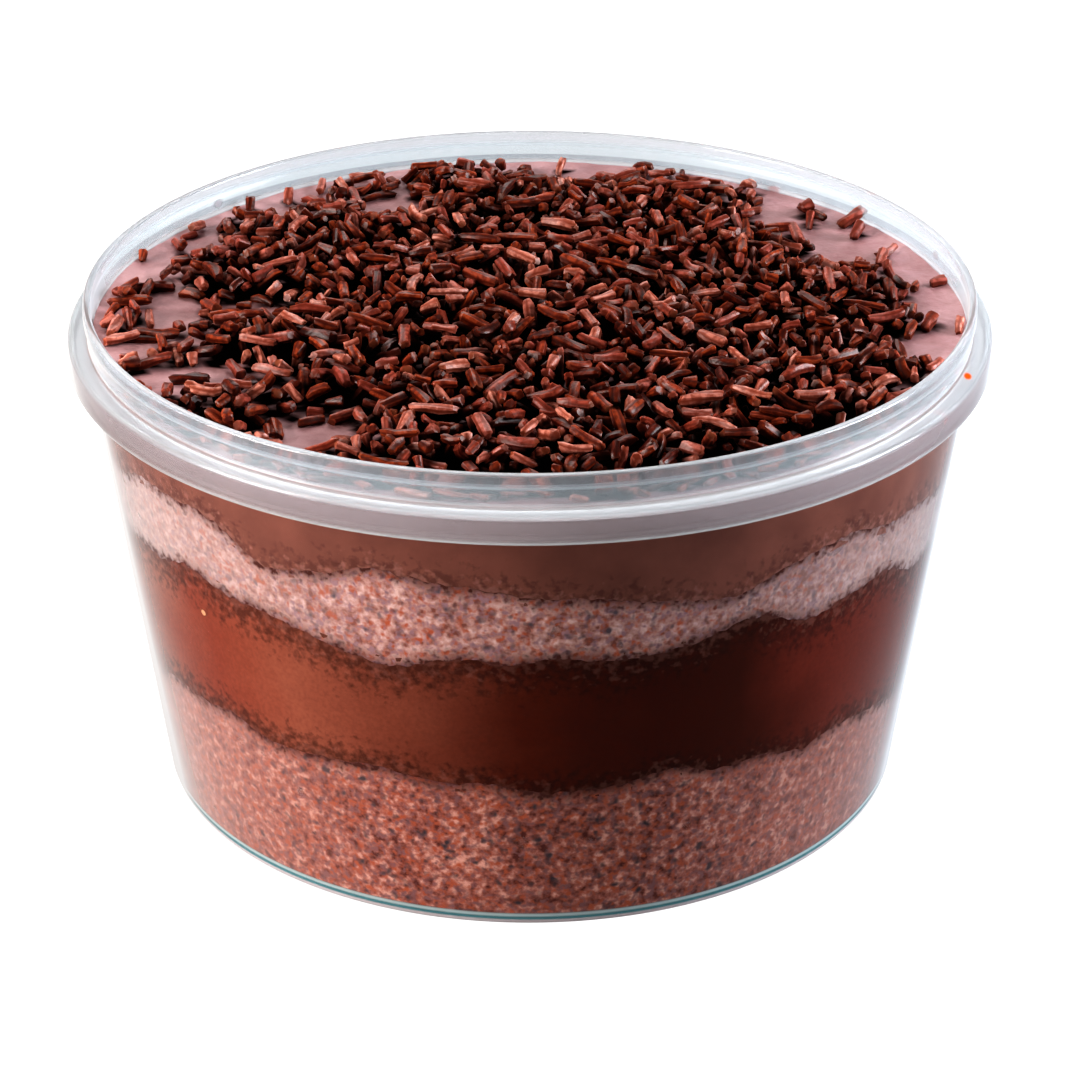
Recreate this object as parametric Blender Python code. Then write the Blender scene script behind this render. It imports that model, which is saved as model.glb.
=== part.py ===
"""A layered chocolate cake in a round clear tub, under a heap of chocolate sprinkles.

Metres, +Z up. The origin is the middle of the tub's foot, and the front of the cake faces -Y.
The tub holds, from its floor up: a lower cake, a filling, an upper cake and a cream. The layers
meet in uneven faces that run right through, and the sprinkles are fused to the cream.
"""

import math

import bmesh
import bpy
import numpy as np

MM = 0.001
TURN = 2 * math.pi
GAP = 0.3 * MM  # between solids that rest on or against each other
SHARP_ANGLE = math.radians(35)

# The tub: a thin tapered wall, a neck with a bead for a lid, and a skirt round the neck
TUB_HEIGHT = 56.0 * MM
FOOT_RADIUS = 41.8 * MM
NECK_RADIUS = 48.4 * MM
NECK_BOTTOM = 49.6 * MM
WALL = 0.6 * MM
RIM_INNER_RADIUS = 47.85 * MM
RIM_ROUND = 0.2 * MM
BEAD_RADIUS = 48.7 * MM
BEAD_BOTTOM = 54.6 * MM
BEAD_SLOPE = 0.5 * MM
LEDGE_TOP = 52.4 * MM
LEDGE_THICKNESS = 0.7 * MM
SKIRT_RADIUS = 50.5 * MM
SKIRT_THICKNESS = 0.7 * MM
SKIRT_BOTTOM = 49.2 * MM
SKIRT_ROUND = 0.4 * MM
SKIRT_EDGE = 0.2 * MM
FLOOR_TOP = 1.45 * MM
FLOOR_BOTTOM = 0.75 * MM
INNER_CORNER = 1.2 * MM
FOOT_EDGE = 0.35 * MM
FOOT_WIDTH = 1.1 * MM
FOOT_SLOPE = 0.3 * MM
TAPER = (NECK_RADIUS - FOOT_RADIUS) / NECK_BOTTOM
TUB_SEGMENTS = 60

# The layers. Each face between two of them has a mean height, and swells where it meets the wall:
# (degrees from the front, positive towards +X; half width in degrees; rise).
LOWER_CAKE_TOP = 17.3 * MM
LOWER_CAKE_SWELLS = (
    (-49, 17, 2.3 * MM),
    (-17, 12, 1.5 * MM),
    (19, 6, 1.8 * MM),
    (76, 19, -4.0 * MM),
)
FILLING_TOP = 33.9 * MM
FILLING_SWELLS = (
    (-46, 12, 2.0 * MM),
    (-20, 10, -1.2 * MM),
    (30, 8, 1.8 * MM),
    (53, 6, 1.8 * MM),
    (73, 16, -2.8 * MM),
)
UPPER_CAKE_TOP = 41.6 * MM
UPPER_CAKE_SWELLS = (
    (-52, 15, 3.0 * MM),
    (-35, 4, -1.6 * MM),
    (-15, 12, 1.8 * MM),
    (22, 11, -2.0 * MM),
    (44, 5, 1.2 * MM),
    (79, 17, -2.9 * MM),
)
BACK_WAVES = (2, 3, 5)  # slow waves a turn, which grow towards the unseen back
BACK_RISE = 0.9 * MM
CRUMB_WAVES = (13, 19, 27)  # waves a turn of the ragged edges of the cake
CRUMB_RISE = 0.22 * MM
LAYER_SEGMENTS = 72
LAYER_RINGS = (0.0, 0.7)  # shares of the radius inside the wall at which a face has points
CREAM_LEVEL = 51.75 * MM
CREAM_RINGS = (0.0, 0.25, 0.5, 0.7, 0.85, 0.95)

# The heap of sprinkles. The cream rises under it as a bed, and lies bare in patches:
# (x, y, half width along x, half width along y).
BED_RISE = 0.8 * MM
BARE_PATCHES = (
    (-37.6 * MM, 22.2 * MM, 2.4 * MM, 2.6 * MM),
    (-40.3 * MM, 2.2 * MM, 2.2 * MM, 3.8 * MM),
    (-31.5 * MM, 1.4 * MM, 2.2 * MM, 1.4 * MM),
    (-31.0 * MM, 33.6 * MM, 2.2 * MM, 2.6 * MM),
    (-36.3 * MM, -14.4 * MM, 2.6 * MM, 1.4 * MM),
    (-40.2 * MM, -17.1 * MM, 2.0 * MM, 1.8 * MM),
    (-22.5 * MM, -30.8 * MM, 2.4 * MM, 3.2 * MM),
    (-16.4 * MM, 33.5 * MM, 2.3 * MM, 3.4 * MM),
    (-1.3 * MM, 46.2 * MM, 5.0 * MM, 1.8 * MM),
    (14.5 * MM, 42.8 * MM, 3.2 * MM, 2.8 * MM),
    (31.1 * MM, 33.8 * MM, 2.4 * MM, 4.5 * MM),
    (35.2 * MM, 20.6 * MM, 2.4 * MM, 5.0 * MM),
    (43.2 * MM, 17.5 * MM, 3.4 * MM, 5.0 * MM),
    (45.0 * MM, 2.6 * MM, 3.2 * MM, 5.0 * MM),
    (42.6 * MM, -9.0 * MM, 2.6 * MM, 4.0 * MM),
    (-44.6 * MM, 13.0 * MM, 3.4 * MM, 6.0 * MM),
)
SPRINKLES = 285
SPRINKLE_SIDES = 6
SPRINKLE_RADII = (0.68 * MM, 0.82 * MM)
SPRINKLE_LENGTHS = (3.2 * MM, 6.4 * MM)
SPRINKLE_SINK = 0.35 * MM  # into the bed
SPRINKLE_BITE = 0.72  # of the full distance between two crossing sprinkles, so that they fuse
STEEPEST = 0.7  # slope of a sprinkle that leans on others
CHOICES = 8  # places tried for a sprinkle, of which it takes the lowest
CELL = 0.25 * MM  # of the map of resting heights
SEED = 7


def material(name, colour, roughness, transmission=0.0):
    """A Principled material that isn't metal."""
    made = bpy.data.materials.new(name)
    made.use_nodes = True
    shader = made.node_tree.nodes["Principled BSDF"]
    shader.inputs["Base Color"].default_value = (*colour, 1.0)
    shader.inputs["Roughness"].default_value = roughness
    shader.inputs["Metallic"].default_value = 0.0
    shader.inputs["Transmission Weight"].default_value = transmission
    made.diffuse_color = (*colour, 1.0)
    return made


def shade(mesh):
    """Shades a mesh smooth, with its corners sharp."""
    mesh.shade_smooth()
    mesh.set_sharp_from_angle(angle=SHARP_ANGLE)


def place(name, work, *materials):
    """Turns a bmesh into a smooth-shaded object of the scene."""
    bmesh.ops.recalc_face_normals(work, faces=work.faces)
    mesh = bpy.data.meshes.new(name)
    work.to_mesh(mesh)
    work.free()
    for one in materials:
        mesh.materials.append(one)
    shade(mesh)
    thing = bpy.data.objects.new(name, mesh)
    bpy.context.scene.collection.objects.link(thing)
    return thing


def arc(centre, radius, start, end, steps):
    """Points on an arc in the (radius, height) plane, with its angles in radians."""
    angles = np.linspace(start, end, steps + 1)
    return [(centre[0] + radius * math.cos(a), centre[1] + radius * math.sin(a)) for a in angles]


def inside(height):
    """The radius of the tub's inner face at a height above its floor."""
    return min(RIM_INNER_RADIUS, FOOT_RADIUS + TAPER * height - WALL)


def contents(height):
    """The radius of what fills the tub at a height."""
    return inside(height) - GAP


def inner_corner(floor, radius_at, corner):
    """The arc that joins a flat floor to the tapered line radius_at, and touches both."""
    middle = floor + corner
    centre = radius_at(middle) - corner * math.hypot(1, TAPER)
    return arc((centre, middle), corner, -math.pi / 2, -math.atan(TAPER), 3)


def tub_section():
    """The tub's section as (radius, height) points, up its inside, over the rim, and down outside."""
    straight = (RIM_INNER_RADIUS + WALL - FOOT_RADIUS) / TAPER
    skirt_inside = SKIRT_RADIUS - SKIRT_THICKNESS
    ledge_bottom = LEDGE_TOP - LEDGE_THICKNESS
    foot_inside = FOOT_RADIUS - FOOT_EDGE - FOOT_WIDTH
    floor = [(0, FLOOR_TOP), *inner_corner(FLOOR_TOP, inside, INNER_CORNER)]
    rim = [
        (RIM_INNER_RADIUS, straight),
        (RIM_INNER_RADIUS, TUB_HEIGHT - RIM_ROUND),
        (RIM_INNER_RADIUS + RIM_ROUND, TUB_HEIGHT),
        (BEAD_RADIUS - RIM_ROUND, TUB_HEIGHT),
        (BEAD_RADIUS, TUB_HEIGHT - RIM_ROUND),
        (BEAD_RADIUS, BEAD_BOTTOM),
        (NECK_RADIUS, BEAD_BOTTOM - BEAD_SLOPE),
        (NECK_RADIUS, LEDGE_TOP),
    ]
    ledge_corner = (SKIRT_RADIUS - SKIRT_ROUND, LEDGE_TOP - SKIRT_ROUND)
    skirt = [
        *arc(ledge_corner, SKIRT_ROUND, math.pi / 2, 0, 2),
        (SKIRT_RADIUS, SKIRT_BOTTOM + SKIRT_EDGE),
        (SKIRT_RADIUS - SKIRT_EDGE, SKIRT_BOTTOM),
        (skirt_inside + SKIRT_EDGE, SKIRT_BOTTOM),
        (skirt_inside, SKIRT_BOTTOM + SKIRT_EDGE),
        (skirt_inside, ledge_bottom),
        (NECK_RADIUS, ledge_bottom),
        (NECK_RADIUS, NECK_BOTTOM),
    ]
    foot = [
        (FOOT_RADIUS + TAPER * FOOT_EDGE, FOOT_EDGE),
        (FOOT_RADIUS - FOOT_EDGE, 0),
        (foot_inside, 0),
        (foot_inside - FOOT_SLOPE, FLOOR_BOTTOM),
        (0, FLOOR_BOTTOM),
    ]
    return floor + rim + skirt + foot


def make_tub():
    """The tub's section spun round the axis."""
    work = bmesh.new()
    points = [work.verts.new((radius, 0, height)) for radius, height in tub_section()]
    edges = [work.edges.new(pair) for pair in zip(points, points[1:])]
    bmesh.ops.spin(
        work,
        geom=points + edges,
        cent=(0, 0, 0),
        axis=(0, 0, 1),
        angle=TURN,
        steps=TUB_SEGMENTS,
        use_merge=True,
    )
    bmesh.ops.remove_doubles(work, verts=work.verts, dist=0.01 * MM)
    clear = material("polypropylene", (0.86, 0.87, 0.88), 0.25, 0.85)
    return place("tub", work, clear)


def uneven_face(level, swells, seed):
    """A function of (angle, share of the radius) that gives the height of a face between layers."""
    draw = np.random.default_rng(seed)
    slow = list(zip(BACK_WAVES, draw.uniform(0, TURN, len(BACK_WAVES))))
    quick = list(zip(CRUMB_WAVES, draw.uniform(0, TURN, len(CRUMB_WAVES))))

    def height(angle, share):
        degrees = (math.degrees(angle) + 180) % 360 - 180
        rise = sum(lift * math.exp(-(((degrees - at) / width) ** 2)) for at, width, lift in swells)
        behind = (1 - math.cos(angle)) / 2
        rise += BACK_RISE * behind * sum(math.cos(n * angle + phase) for n, phase in slow)
        rise += CRUMB_RISE * sum(math.cos(n * angle + phase) for n, phase in quick)
        return level + rise * share**2

    return height


def flat_face(level):
    """A level face, as a function like uneven_face's."""
    return lambda angle, share: level


def turned(section_at):
    """A solid whose section changes as it turns. section_at(angle) lists its (radius, height)
    points, from the axis on top, outwards and down to the axis below."""
    work = bmesh.new()
    angles = [TURN * step / LAYER_SEGMENTS for step in range(LAYER_SEGMENTS)]
    sections = [section_at(angle) for angle in angles]
    top = work.verts.new((0, 0, sections[0][0][1]))
    bottom = work.verts.new((0, 0, sections[0][-1][1]))
    rows = []
    for angle, section in zip(angles, sections):
        spots = [(r * math.sin(angle), -r * math.cos(angle), z) for r, z in section[1:-1]]
        rows.append([top, *(work.verts.new(spot) for spot in spots), bottom])
    for row, following in zip(rows, rows[1:] + rows[:1]):
        for n in range(len(row) - 1):
            corners = dict.fromkeys((row[n], row[n + 1], following[n + 1], following[n]))
            work.faces.new(corners)
    return work


def layer_section(angle, lower, upper):
    """A layer's section between two faces, out to the tub's wall."""
    top = [(share * contents(upper(angle, share)), upper(angle, share)) for share in LAYER_RINGS]
    bottom = [(share * contents(lower(angle, share)), lower(angle, share)) for share in LAYER_RINGS]
    edge = [(contents(face(angle, 1)), face(angle, 1)) for face in (upper, lower)]
    return top + edge + bottom[::-1]


def raised(face):
    """The face that lies a gap above another one."""
    return lambda angle, share: face(angle, share) + GAP


def make_layer(name, lower, upper, look):
    """A layer between two uneven faces."""
    return place(name, turned(lambda angle: layer_section(angle, lower, upper)), look)


def make_lower_cake(upper, look):
    """The lowest layer, which stands on the tub's floor and follows its round inner corner."""
    floor = FLOOR_TOP + GAP

    def section(angle):
        from_axis = layer_section(angle, flat_face(floor), upper)
        corner = inner_corner(floor, contents, INNER_CORNER)
        return from_axis[: len(LAYER_RINGS) + 1] + corner[::-1] + from_axis[-len(LAYER_RINGS) :]

    return place("cake_lower", turned(section), look)


def covered(x, y):
    """How much of a place the heap covers: 1 in the heap, 0 in a bare patch or at the wall."""
    share = 1 - np.hypot(x, y) / contents(CREAM_LEVEL)
    cover = np.clip(share * 20, 0, 1)
    for at_x, at_y, half_x, half_y in BARE_PATCHES:
        apart = np.hypot((x - at_x) / half_x, (y - at_y) / half_y)
        cover = cover * np.clip(2 * (apart - 0.8), 0, 1)
    return cover


def bed(x, y):
    """The height of the cream's upper face."""
    return CREAM_LEVEL + BED_RISE * covered(x, y)


def make_cream(lower, look, topping):
    """The cream, without its sprinkles."""
    rim = contents(CREAM_LEVEL)

    def section(angle):
        spots = [(share * rim, bed(share * rim * math.sin(angle), -share * rim * math.cos(angle)))
                 for share in CREAM_RINGS]
        return spots + [(rim, CREAM_LEVEL)] + layer_section(angle, lower, lower)[len(LAYER_RINGS) + 1 :]

    return place("cream_top", turned(section), look, topping)


def resting_line(heights, steps):
    """The height and slope of a straight rod that rests on heights below its axis, found at
    steps from its middle. It takes the slope at which its middle lies lowest."""
    slopes = np.linspace(-STEEPEST, STEEPEST, 29)
    middles = (heights - slopes[:, None] * steps).max(1)
    lowest = middles.argmin()
    return middles[lowest], slopes[lowest]


def lay_sprinkles():
    """Lists (middle, heading, slope, length, radius) for each sprinkle, longest first. Each falls
    where its axis comes to rest lowest, on the bed or on those that already lie there."""
    draw = np.random.default_rng(SEED)
    rim = contents(CREAM_LEVEL)
    axis = np.arange(-rim, rim, CELL)
    x, y = np.meshgrid(axis, axis, indexing="ij")
    rest = bed(x, y) + SPRINKLE_RADII[1] - SPRINKLE_SINK
    lengths = np.sort(draw.uniform(*SPRINKLE_LENGTHS, SPRINKLES))[::-1]
    laid = []
    for length in lengths:
        radius = draw.uniform(*SPRINKLE_RADII)
        steps = np.linspace(-length / 2, length / 2, 11)
        best = None
        tried = 0
        while tried < CHOICES:
            at = draw.uniform(-rim, rim, 2)
            heading = draw.uniform(0, math.pi)
            line = at[:, None] + np.outer((math.cos(heading), math.sin(heading)), steps)
            if np.hypot(*line).max() > rim - radius or covered(*line).min() < 0.5:
                continue
            tried += 1
            cells = np.clip(np.round((line + rim) / CELL).astype(int), 0, len(axis) - 1)
            height, slope = resting_line(rest[cells[0], cells[1]], steps)
            if best is None or height < best[0]:
                best = (height, slope, at, heading)
        height, slope, at, heading = best
        laid.append(((*at, height), heading, slope, length, radius))
        along = (x - at[0]) * math.cos(heading) + (y - at[1]) * math.sin(heading)
        across = (y - at[1]) * math.cos(heading) - (x - at[0]) * math.sin(heading)
        beyond = np.maximum(np.abs(along) - length / 2, 0)
        apart = np.hypot(across, beyond) / (2 * radius)
        over = height + slope * along + SPRINKLE_BITE * 2 * radius * np.sqrt(1 - np.minimum(apart, 1) ** 2)
        rest = np.where(apart < 1, np.maximum(rest, over), rest)
    return laid


def make_sprinkle(number, spot, heading, slope, length, radius, heap, look):
    """One sprinkle: a short prism, laid along its heading and slope."""
    work = bmesh.new()
    bmesh.ops.create_cone(
        work,
        cap_ends=True,
        segments=SPRINKLE_SIDES,
        radius1=radius,
        radius2=radius,
        depth=length,
    )
    mesh = bpy.data.meshes.new(f"sprinkle_{number}")
    work.to_mesh(mesh)
    work.free()
    mesh.materials.append(look)
    thing = bpy.data.objects.new(mesh.name, mesh)
    thing.location = spot
    thing.rotation_euler = (0, math.pi / 2 - math.atan(slope), heading)
    heap.objects.link(thing)


def keep_largest_body(mesh):
    """Removes all but a mesh's largest body: loose scraps, and sealed hollows, which that fills."""
    work = bmesh.new()
    work.from_mesh(mesh)
    left = set(work.faces)
    bodies = []
    while left:
        body = {left.pop()}
        edge = set(body)
        while edge:
            edge = {other for face in edge for side in face.edges for other in side.link_faces} - body
            body |= edge
        left -= body
        bodies.append(body)
    bodies.sort(key=len)
    loose = [face for body in bodies[:-1] for face in body]
    bmesh.ops.delete(work, geom=loose, context="FACES")
    work.to_mesh(mesh)
    work.free()


def fuse(body, heap):
    """Joins a collection's objects to a body in one union, and removes them."""
    join = body.modifiers.new("sprinkles", "BOOLEAN")
    join.operation = "UNION"
    join.operand_type = "COLLECTION"
    join.collection = heap
    join.solver = "EXACT"
    join.material_mode = "TRANSFER"
    bpy.context.view_layer.objects.active = body
    bpy.ops.object.modifier_apply(modifier=join.name)
    for thing in list(heap.objects):
        bpy.data.meshes.remove(thing.data)
    bpy.data.collections.remove(heap)
    keep_largest_body(body.data)
    shade(body.data)


def make_topping(lower):
    """The cream with the heap of sprinkles fused to it."""
    cream_look = material("chocolate_cream", (0.36, 0.20, 0.18), 0.4)
    sprinkle_look = material("chocolate_sprinkles", (0.10, 0.035, 0.02), 0.35)
    cream = make_cream(lower, cream_look, sprinkle_look)
    heap = bpy.data.collections.new("sprinkles")
    bpy.context.scene.collection.children.link(heap)
    for number, (spot, heading, slope, length, radius) in enumerate(lay_sprinkles()):
        make_sprinkle(number, spot, heading, slope, length, radius, heap, sprinkle_look)
    fuse(cream, heap)


def main():
    for thing in list(bpy.data.objects):
        bpy.data.objects.remove(thing)
    lower_cake_top = uneven_face(LOWER_CAKE_TOP, LOWER_CAKE_SWELLS, 1)
    filling_top = uneven_face(FILLING_TOP, FILLING_SWELLS, 2)
    upper_cake_top = uneven_face(UPPER_CAKE_TOP, UPPER_CAKE_SWELLS, 3)
    sponge = material("chocolate_sponge", (0.30, 0.13, 0.10), 0.8)
    make_tub()
    make_lower_cake(lower_cake_top, sponge)
    filling_look = material("chocolate_filling", (0.09, 0.025, 0.018), 0.35)
    make_layer("filling", raised(lower_cake_top), filling_top, filling_look)
    make_layer("cake_upper", raised(filling_top), upper_cake_top, sponge)
    make_topping(raised(upper_cake_top))


main()
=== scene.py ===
# %% [markdown]
# # A layered chocolate cake in a clear tub
# The real thing is sold by the tub: soft chocolate sponge, a smooth dark filling, more sponge and a
# cream are put into a round clear tub one on another, and the cream is strewn with chocolate sprinkles.
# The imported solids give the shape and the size. This lesson dresses them: it turns a finer tub, presses
# each layer against the wall with its own crumb or smear, and heaps about 1,800 sprinkles on the cream.

# %% Open the frame
import math
from functools import partial

import bpy
import numpy as np
from mathutils import Matrix, Vector, noise


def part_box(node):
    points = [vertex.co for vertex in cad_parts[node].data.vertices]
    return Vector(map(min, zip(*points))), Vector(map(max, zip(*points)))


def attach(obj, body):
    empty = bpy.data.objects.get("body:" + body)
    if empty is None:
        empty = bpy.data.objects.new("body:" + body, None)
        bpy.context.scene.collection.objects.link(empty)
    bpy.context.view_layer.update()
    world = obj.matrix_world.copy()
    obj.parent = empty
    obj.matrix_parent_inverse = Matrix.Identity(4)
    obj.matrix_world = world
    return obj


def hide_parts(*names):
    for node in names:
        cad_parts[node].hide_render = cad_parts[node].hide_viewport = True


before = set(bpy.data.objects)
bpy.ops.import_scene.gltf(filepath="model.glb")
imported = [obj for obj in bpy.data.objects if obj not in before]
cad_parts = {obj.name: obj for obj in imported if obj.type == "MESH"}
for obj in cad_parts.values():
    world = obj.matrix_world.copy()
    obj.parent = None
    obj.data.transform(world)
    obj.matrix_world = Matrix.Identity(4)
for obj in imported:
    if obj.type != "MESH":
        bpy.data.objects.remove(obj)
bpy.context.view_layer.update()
MM = 0.001
TURN = 2 * math.pi


print("nodes:", sorted(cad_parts))

# %% [markdown]
# ## The sizes that the pieces share
# A turned shape is a section, a list of radii and heights, so the tub's few driving sizes are enough for
# every piece that it holds. The height and the skirt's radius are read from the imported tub, and the rest
# are the sizes that the tub is moulded to.

# %% Sizes of the tub
tub_high = Vector(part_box("tub")[1])
TUB_HEIGHT = tub_high.z
SKIRT_RADIUS = tub_high.x
FOOT_RADIUS = 41.8 * MM
NECK_RADIUS = 48.4 * MM
NECK_BOTTOM = 49.6 * MM
WALL = 0.6 * MM
RIM_INNER_RADIUS = 47.85 * MM
TAPER = (NECK_RADIUS - FOOT_RADIUS) / NECK_BOTTOM
FLOOR_TOP = 1.45 * MM


def wall_inside(height):
    """The radius of the wall's inner face, for one height or an array of them."""
    return np.minimum(RIM_INNER_RADIUS, FOOT_RADIUS + TAPER * height - WALL)


print("tub height and skirt radius in mm:", round(TUB_HEIGHT / MM, 2), round(SKIRT_RADIUS / MM, 2))

# %% [markdown]
# ## The camera
# A photograph of a small thing on a table is taken from about 40 cm with a long lens, so the rim's
# ellipse stays calm. The camera looks down by 26.8 degrees and aims a millimetre to the right of the
# tub's axis, which puts the tub where it stands in the picture.

# %% Place the camera
CAMERA_DISTANCE = 386.3 * MM
CAMERA_TILT = math.radians(26.8)
CAMERA_AIM = Vector((1.09 * MM, 0, 24.45 * MM))
CAMERA_LENS = 113.3  # for a sensor 36 mm wide

away = Vector((0, -math.cos(CAMERA_TILT), math.sin(CAMERA_TILT)))
bpy.ops.object.camera_add(
    location=CAMERA_AIM + CAMERA_DISTANCE * away,
    rotation=(math.pi / 2 - CAMERA_TILT, 0, 0),
)
camera = bpy.context.object
camera.data.lens = CAMERA_LENS
camera.data.clip_start = 10 * MM
bpy.context.scene.camera = camera
print("camera at", [round(v, 3) for v in camera.location])

# %% [markdown]
# ## Colours and nodes
# Colours are picked as sRGB hex values, as a paint program shows them, and shaders work in linear
# light. One function turns the first into the second. A second one adds a node with its settings and
# links, and that is all a material needs: every other line says what the finish is. Most finishes are
# a colour under several coats, so they end in a loop that mixes each coat over the ones before.

# %% Colour and node helpers
def linear(hex_colour):
    """An sRGB hex colour as four linear numbers."""
    parts = [int(hex_colour[i : i + 2], 16) / 255 for i in (1, 3, 5)]
    return [p / 12.92 if p <= 0.04045 else ((p + 0.055) / 1.055) ** 2.4 for p in parts] + [1.0]


def node(tree, kind, inputs=None, stops=(), **settings):
    """Adds a node. An input gets a value, or a link where the value is a socket or a node, of which the
    first output counts. The stops of a ramp are pairs of a position and a hex colour or a grey value."""
    made = tree.nodes.new("ShaderNode" + kind)
    for name, value in settings.items():
        setattr(made, name, value)
    for name, value in (inputs or {}).items():
        value = value.outputs[0] if isinstance(value, bpy.types.Node) else value
        if isinstance(value, bpy.types.NodeSocket):
            tree.links.new(value, made.inputs[name])
        else:
            made.inputs[name].default_value = value
    while stops and len(made.color_ramp.elements) < len(stops):
        made.color_ramp.elements.new(0.5)
    for element, (position, colour) in zip(made.color_ramp.elements if stops else (), stops):
        element.position = position
        element.color = linear(colour) if isinstance(colour, str) else (colour, colour, colour, 1)
    return made


def new_material(name):
    """An empty material, and the function that adds a node to it."""
    made = bpy.data.materials.new(name)
    made.use_nodes = True
    made.node_tree.nodes.clear()
    return made, partial(node, made.node_tree)


print("white is", linear("#ffffff"))

# %% [markdown]
# ## Studio
# The thing stands on a pale sheet that runs to white. A white sheet would also shine in the tub's wall
# and wash out the dark layers, so a photographer flags it with black card. Here the sheet does that
# itself: it is white for the eye, and a dull grey for reflections and bounced light. A soft box stands
# low at the left and a cooler one at the right, so the layers are darkest a little right of the front.
# A third, behind and above, skims the cream's top, which gives its rosy sheen, and draws the lines on
# the sprinkles and the rim. That sheen, those lines and the filling's light and shade are also painted
# into the finishes.

# %% Floor and lights
FLOOR_SIDE = 4.0
FLOOR_DROP = 0.05 * MM
FLOOR_GLOW = 0.62
LIGHTS = {
    # name: place, side lengths, power in watts, colour
    "behind": ((-0.10, 0.42, 0.48), (0.55, 0.35), 2.2, "#ffffff"),
    "left": ((-0.51, -0.22, 0.20), (0.28, 0.36), 5.05, "#fffaf6"),
    "right": ((0.59, -0.01, 0.24), (0.26, 0.36), 5.9, "#f4f9ff"),
}
LIGHTS_AIM = Vector((0, 0, 0.03))
WORLD_BOUNCED = 0.08


def already_bounced(add):
    """0 for what the eye sees straight or through the plastic, and 1 after a reflection or a bounce."""
    path = add("LightPath").outputs
    bounces = add("Math", {0: path["Diffuse Depth"], 1: path["Glossy Depth"]}, operation="ADD")
    return add("Math", {0: bounces, 1: 1.0}, operation="MINIMUM")


bpy.ops.object.select_all(action="DESELECT")
bpy.ops.mesh.primitive_plane_add(size=FLOOR_SIDE, location=(0, 0, -FLOOR_DROP))
bpy.ops.object.transform_apply(location=True)
floor = bpy.context.object
floor.name = "studio_floor"
paper, add = new_material("white paper")
lit = add("BsdfDiffuse", {"Color": linear("#7c7c7c")})
glow = add("Emission", {"Color": linear("#ffffff"), "Strength": FLOOR_GLOW})
bright = add("AddShader", {0: lit, 1: glow})
flagged = add("BsdfDiffuse", {"Color": linear("#443f3d")})
shown = add("MixShader", {0: already_bounced(add), 1: bright, 2: flagged})
add("OutputMaterial", {"Surface": shown})
floor.data.materials.append(paper)

for name, (place, sides, power, colour) in LIGHTS.items():
    bpy.ops.object.light_add(type="AREA", location=place)
    lamp = bpy.context.object
    lamp.name = name
    lamp.data.shape = "RECTANGLE"
    lamp.data.size, lamp.data.size_y = sides
    lamp.data.energy = power
    lamp.data.color = linear(colour)[:3]
    lamp.rotation_euler = (LIGHTS_AIM - Vector(place)).to_track_quat("-Z", "Y").to_euler()

world = bpy.data.worlds.new("studio")
world.use_nodes = True
tree = world.node_tree
add = partial(node, tree)
fade = {"Value": already_bounced(add), "To Min": 1.0, "To Max": WORLD_BOUNCED}
background = tree.nodes["Background"]
background.inputs["Color"].default_value = linear("#fdfdff")
tree.links.new(add("MapRange", fade).outputs[0], background.inputs["Strength"])
bpy.context.scene.world = world
bpy.context.scene.view_settings.view_transform = "Standard"
bpy.context.scene.view_settings.look = "High Contrast"
print("lights:", ", ".join(LIGHTS))

# %% [markdown]
# ## Modelling round pieces
# Everything here is round, and there are two ways to make a round thing: spin a section round an axis,
# or start with a disc and extrude its edge ring by ring, scaling each ring. The second is used here,
# because the rings stay in order, so a layer's rings can be moved afterwards by a rule.

# %% A tower of extruded rings
def extrude_rings(name, section, around):
    """Extrudes a disc's edge through the (radius, height) points of a section, and closes the end."""
    bpy.ops.object.select_all(action="DESELECT")
    radius, height = section[0]
    bpy.ops.mesh.primitive_circle_add(
        vertices=around, radius=radius, fill_type="NGON", location=(0, 0, height)
    )
    bpy.ops.object.transform_apply(location=True)
    piece = bpy.context.object
    piece.name = piece.data.name = name
    bpy.ops.object.mode_set(mode="EDIT")
    bpy.ops.mesh.select_mode(type="EDGE")
    bpy.ops.mesh.select_all(action="SELECT")
    bpy.ops.mesh.region_to_loop()
    for (was, low), (radius, height) in zip(section, section[1:]):
        bpy.ops.mesh.extrude_edges_move(TRANSFORM_OT_translate={"value": (0, 0, height - low)})
        bpy.ops.transform.resize(
            value=(radius / was, radius / was, 1), center_override=(0, 0, height)
        )
    bpy.ops.mesh.edge_face_add()
    bpy.ops.mesh.select_all(action="SELECT")
    bpy.ops.mesh.normals_make_consistent(inside=False)
    bpy.ops.object.mode_set(mode="OBJECT")
    return piece


def points_of(piece):
    """A mesh's points as an array of rows of x, y and z."""
    flat = np.empty(3 * len(piece.data.vertices), np.float32)
    piece.data.vertices.foreach_get("co", flat)
    return flat.reshape(-1, 3).astype(float)


def move_points(piece, points):
    """Puts a mesh's points where an array says."""
    piece.data.vertices.foreach_set("co", points.astype(np.float32).ravel())
    piece.data.update()


def note(mesh, name, values):
    """Stores a number for each point of a mesh, which a material can read."""
    mesh.attributes.new(name, "FLOAT", "POINT").data.foreach_set("value", values.astype(np.float32))


def arc(centre, radius, start, end, steps):
    """Points on an arc in the (radius, height) plane, from one angle to another in degrees."""
    angles = np.radians(np.linspace(start, end, steps + 1))
    return [(centre[0] + radius * math.cos(a), centre[1] + radius * math.sin(a)) for a in angles]


def shade(piece, degrees):
    """Shades a piece smooth, with the corners that are sharper than an angle left sharp."""
    bpy.ops.object.select_all(action="DESELECT")
    piece.select_set(True)
    bpy.context.view_layer.objects.active = piece
    bpy.ops.object.shade_smooth_by_angle(angle=math.radians(degrees))


print("round pieces are built from rings")

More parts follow.
